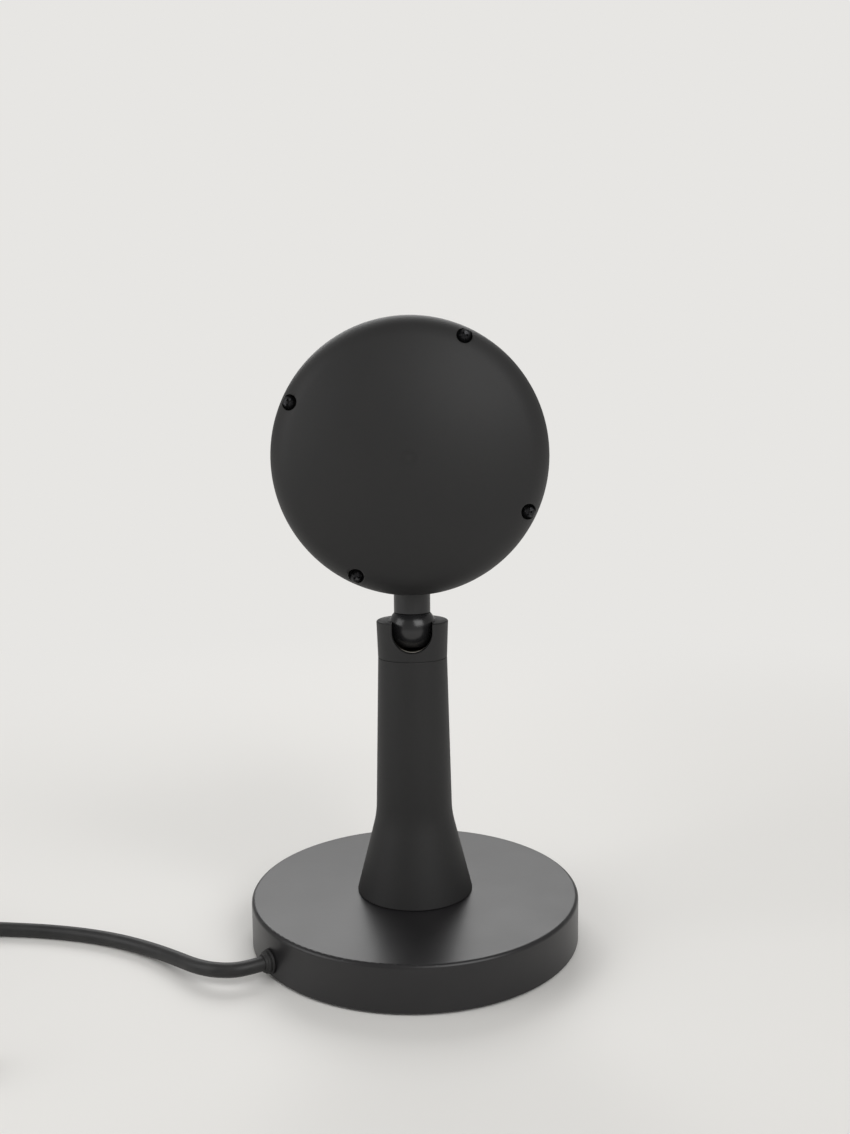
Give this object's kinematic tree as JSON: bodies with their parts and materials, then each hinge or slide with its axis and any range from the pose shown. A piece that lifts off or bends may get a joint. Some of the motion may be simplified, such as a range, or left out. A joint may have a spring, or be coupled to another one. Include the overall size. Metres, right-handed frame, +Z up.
{
  "type": "projection lamp",
  "caption": "Small table lamp with a round spotlight head on a ball joint, a tapered post, a weighted round base and a low-voltage cord with an inline switch and plug.",
  "frame": {"origin": "on the table, under the middle of the round base", "axes": "+Z up along the post; the lens looks towards -Y; the cord leaves towards +X and +Y"},
  "size_m": [0.2795, 0.1342, 0.1864],
  "materials": {
    "base_black": "satin black paint",
    "post_black": "fine matte black powder coat",
    "ball_black": "smooth semi-gloss black",
    "neck_black": "matte black paint on steel",
    "head_black": "fine matte black powder coat",
    "ring_black": "black anodised, turned",
    "cast_weight": "rough cast",
    "plate_steel": "zinc plated sheet",
    "screw_steel": "zinc plated",
    "spring_steel": "spring wire",
    "black_screw": "black oxide",
    "foam_pad": "closed-cell foam, matte",
    "cord_rubber": "soft matte black",
    "cord_jacket": "smooth soft black jacket",
    "lead_jacket": "insulated leads",
    "seat_nylon": "natural nylon",
    "switch_plastic": "fine spark texture",
    "switch_inner": "moulded",
    "button_plastic": "polished",
    "tie_plastic": "flat plastic strip",
    "plug_rubber": "moulded soft black",
    "plug_steel": "nickel plated sheet",
    "plug_inner": "white moulded",
    "contact_gold": "gold plated",
    "lens_glass": "clear pressed glass",
    "filter_glass": "orange colour filter",
    "tube_black": "dull black moulding",
    "reflector_bright": "metallised",
    "board_white": "white solder mask",
    "phosphor": "yellow phosphor",
    "sink_aluminium": "plain extruded"
  },
  "bodies": {
    "root": {"base_housing": "base_black", "base_weight": "cast_weight", "bottom_plate": "plate_steel", "foot_pad": "foam_pad", "bottom_screws": "screw_steel", "cord_grommet": "cord_rubber", "cord_clamp": "plate_steel", "clamp_screws": "screw_steel", "cord_inside": "cord_jacket", "post_leads": "lead_jacket", "post": "post_black", "socket_collar": "post_black", "ball_seat": "seat_nylon", "seat_spring": "spring_steel", "post_stud": "screw_steel", "stud_washer": "screw_steel", "stud_nut": "screw_steel", "cord_lead": "cord_jacket", "switch_case_lower": "switch_plastic", "switch_case_upper": "switch_plastic", "switch_core": "switch_inner", "cord_middle": "cord_jacket", "cord_coil": "cord_jacket", "cord_tie": "tie_plastic", "cord_end": "cord_jacket", "plug_body": "plug_rubber", "plug_shell": "plug_steel", "plug_tongue": "plug_inner", "plug_contacts": "contact_gold"},
    "ball": {"ball": "ball_black"},
    "head": {"neck": "neck_black", "neck_clip": "spring_steel", "neck_washer": "screw_steel", "neck_nut": "screw_steel", "head_band": "head_black", "rear_cover": "head_black", "cover_screws": "black_screw", "front_bezel": "head_black", "lens": "lens_glass", "lens_ring": "ring_black", "light_tube": "tube_black", "tube_screws": "screw_steel", "reflector": "reflector_bright", "filter_disc": "filter_glass", "filter_ring": "tube_black", "led_board": "board_white", "board_screws": "screw_steel", "led_emitter": "phosphor", "heat_sink": "sink_aluminium", "sink_screws": "screw_steel", "head_leads": "lead_jacket"},
    "button": {"switch_button": "button_plastic"}
  },
  "joints": [
    {"name": "head_tilt", "type": "hinge", "parent": "root", "child": "ball", "pos_m": [0, 0, 0.0952], "axis": [-1, 0, 0], "range_deg": [-20, 90]},
    {"name": "head_swivel", "type": "hinge", "parent": "ball", "child": "head", "pos_m": [0, 0, 0.0952], "axis": [0, 0, 1], "range_deg": [-170, 170]},
    {"name": "button_press", "type": "slide", "parent": "root", "child": "button", "axis": [0, 0, -1], "range_m": [0, 0.0012], "stiffness_N_per_m": 600, "springref_m": -0.001}
  ]
}
